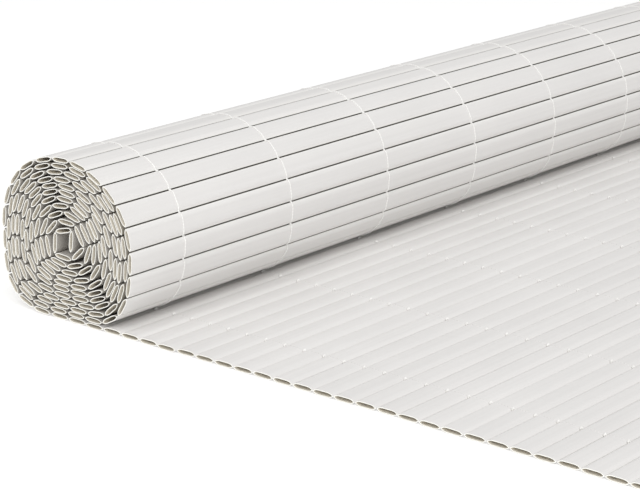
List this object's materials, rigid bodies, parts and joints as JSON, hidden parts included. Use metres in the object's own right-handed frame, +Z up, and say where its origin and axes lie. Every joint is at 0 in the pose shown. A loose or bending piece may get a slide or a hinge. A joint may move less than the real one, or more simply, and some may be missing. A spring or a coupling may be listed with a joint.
{
  "type": "pvc privacy screen",
  "caption": "Privacy screen of hollow flat-oval plastic slats laced side by side with thin cords, part rolled up, with its free end lying flat on the floor.",
  "frame": {"origin": "on the floor, under the middle of the whole screen's box", "axes": "+X along the slats, +Y from the flat run's free edge towards the roll, +Z up"},
  "size_m": [1, 0.5908, 0.1263],
  "materials": {
    "slat_pvc": "smooth satin extruded pvc, off-white",
    "lacing_cord": "thin twisted nylon cord, near white"
  },
  "bodies": {
    "root": {"flat_run": "slat_pvc", "roll_cord_01": "lacing_cord", "roll_cord_02": "lacing_cord", "roll_cord_03": "lacing_cord", "roll_cord_04": "lacing_cord", "roll_cord_05": "lacing_cord", "roll_cord_06": "lacing_cord", "roll_cord_07": "lacing_cord", "roll_cord_08": "lacing_cord", "roll_turn_01": "slat_pvc", "roll_turn_02": "slat_pvc", "roll_turn_03": "slat_pvc", "roll_turn_04": "slat_pvc", "roll_turn_05": "slat_pvc", "roll_turn_06": "slat_pvc", "roll_turn_07": "slat_pvc", "roll_turn_08": "slat_pvc", "roll_turn_09": "slat_pvc", "roll_turn_10": "slat_pvc", "roll_turn_11": "slat_pvc", "top_cord_01": "lacing_cord", "top_cord_02": "lacing_cord", "top_cord_03": "lacing_cord", "top_cord_04": "lacing_cord", "top_cord_05": "lacing_cord", "top_cord_06": "lacing_cord", "top_cord_07": "lacing_cord", "top_cord_08": "lacing_cord", "under_cord_01": "lacing_cord", "under_cord_02": "lacing_cord", "under_cord_03": "lacing_cord", "under_cord_04": "lacing_cord", "under_cord_05": "lacing_cord", "under_cord_06": "lacing_cord", "under_cord_07": "lacing_cord", "under_cord_08": "lacing_cord"}
  },
  "joints": []
}
